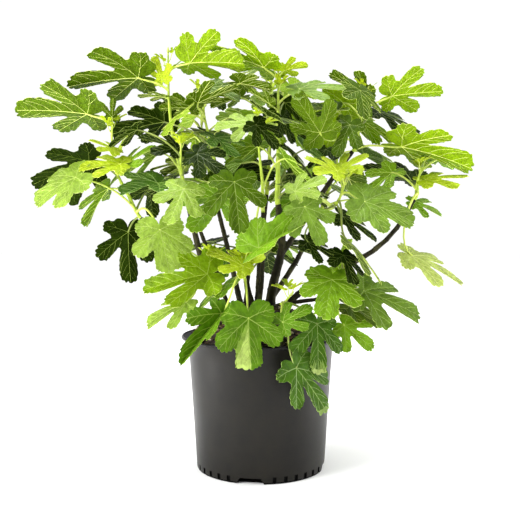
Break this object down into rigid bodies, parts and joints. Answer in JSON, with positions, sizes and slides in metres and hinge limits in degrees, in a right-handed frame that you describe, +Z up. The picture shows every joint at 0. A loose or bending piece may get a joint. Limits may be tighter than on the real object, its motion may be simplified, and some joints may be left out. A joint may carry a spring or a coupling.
{
  "type": "potted fig bush",
  "caption": "Young multi-stemmed fig bush with lobed leaves, growing in a round tapered plastic nursery pot with a rolled lip and drain notches.",
  "frame": {"origin": "centre of the pot's flat underside", "axes": "+Z up along the pot's axis, -Y towards the front of the plant, +X to the right as seen from the front, along the longest extent"},
  "size_m": [0.8585, 0.5428, 0.8145],
  "materials": {
    "black_plastic": "satin",
    "potting_mix": "matte",
    "bark": "matte",
    "foliage": "satin"
  },
  "bodies": {
    "root": {"pot": "black_plastic", "potting_mix": "potting_mix", "stem_left": "bark", "stem_left_thin": "bark", "stem_mid_left": "bark", "stem_centre": "bark", "stem_thick": "bark", "stem_far_right": "bark", "stem_right_low": "bark", "stem_front": "bark", "stem_front_right": "bark", "stem_back_left": "bark", "stem_back": "bark", "stem_back_right": "bark", "stem_back_low": "bark", "bough_right": "bark", "bough_far_left": "bark", "bough_left_low": "bark", "bough_mid_right": "bark", "leaves_top_left": "foliage", "leaves_mid_left": "foliage", "leaves_upper_left": "foliage", "leaves_centre": "foliage", "leaves_top_centre": "foliage", "leaves_top_right": "foliage", "leaves_far_left": "foliage", "leaves_left_low": "foliage", "leaves_front": "foliage", "leaves_front_right": "foliage", "leaves_right_low": "foliage", "leaves_mid_right": "foliage", "leaves_far_right": "foliage", "leaves_back_left": "foliage", "leaves_back": "foliage", "leaves_back_right": "foliage", "leaves_back_low": "foliage"}
  },
  "joints": []
}
